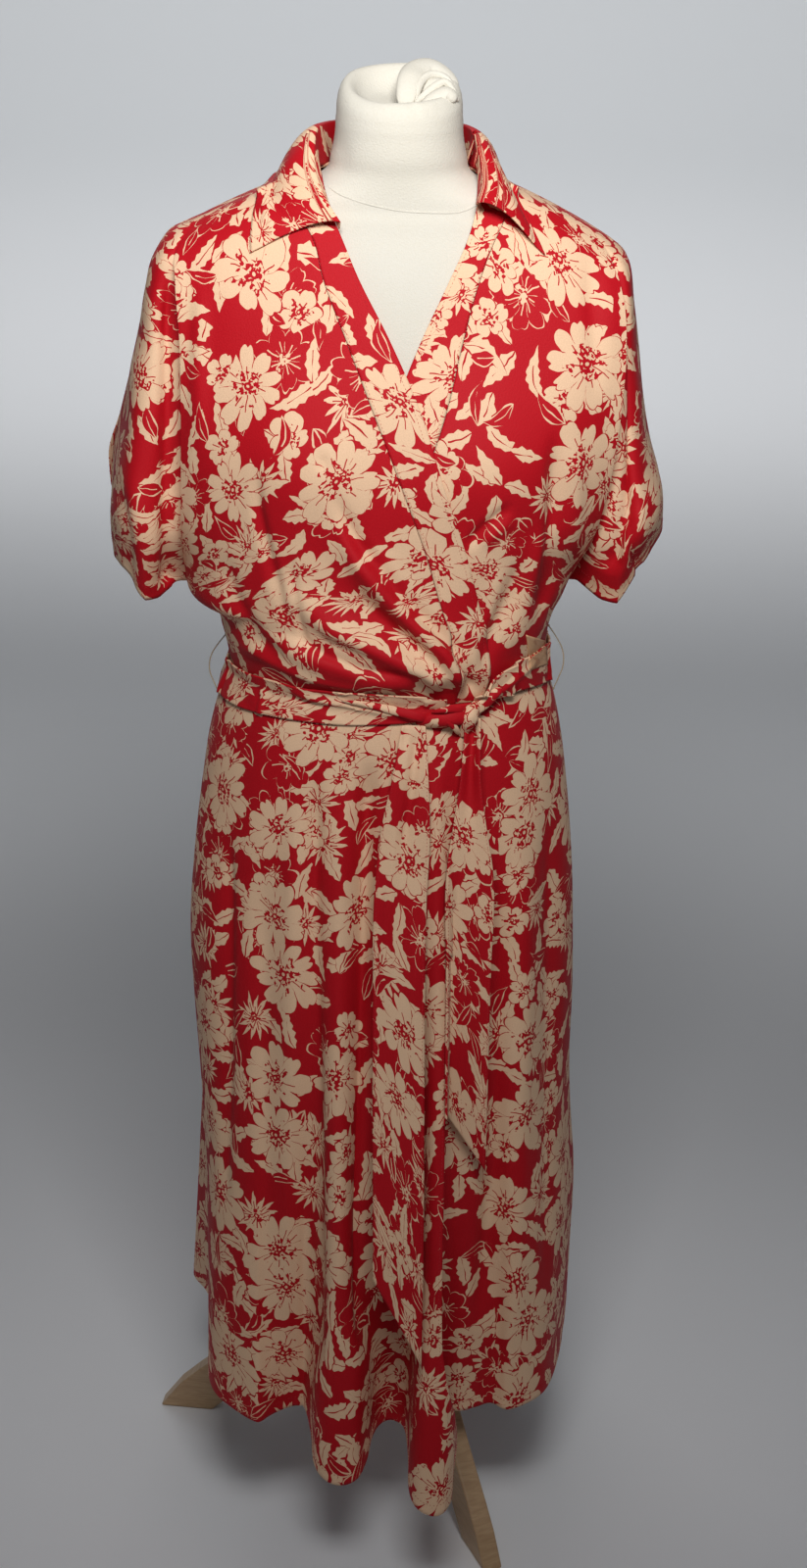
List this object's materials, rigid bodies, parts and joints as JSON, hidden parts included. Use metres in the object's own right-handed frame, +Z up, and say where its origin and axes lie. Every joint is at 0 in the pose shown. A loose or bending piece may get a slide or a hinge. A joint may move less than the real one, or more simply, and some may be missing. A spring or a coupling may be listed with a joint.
{
  "type": "wrap dress on a dress form",
  "caption": "Short-sleeved midi wrap dress in a floral print, tied with its own sash and worn by a limbless dress form on a wooden tripod stand.",
  "frame": {"origin": "point on the floor under the middle of the part's bounding box", "axes": "+Z up; the front of the dress faces -Y and the wearer's left side is at +X"},
  "size_m": [0.5115, 0.5165, 1.4096],
  "materials": {
    "dress_cloth": "matt satin crepe with a red and cream floral print",
    "loop_thread": "twisted sewing thread",
    "form_jersey": "cream cotton jersey",
    "stand_wood": "clear matt lacquer on light brown wood"
  },
  "bodies": {
    "root": {"bodice_back": "dress_cloth", "bodice_front_right": "dress_cloth", "bodice_front_left": "dress_cloth", "front_band_right": "dress_cloth", "front_band_left": "dress_cloth", "collar": "dress_cloth", "skirt_back": "dress_cloth", "skirt_front_right": "dress_cloth", "skirt_front_left": "dress_cloth", "sash_belt": "dress_cloth", "sash_knot": "dress_cloth", "sash_end_long": "dress_cloth", "sash_end_short": "dress_cloth", "belt_loop_right": "loop_thread", "belt_loop_left": "loop_thread", "form_body": "form_jersey", "form_neck_gather": "form_jersey", "stand_pole": "stand_wood", "stand_hub": "stand_wood", "stand_leg_1": "stand_wood", "stand_leg_2": "stand_wood", "stand_leg_3": "stand_wood"}
  },
  "joints": []
}
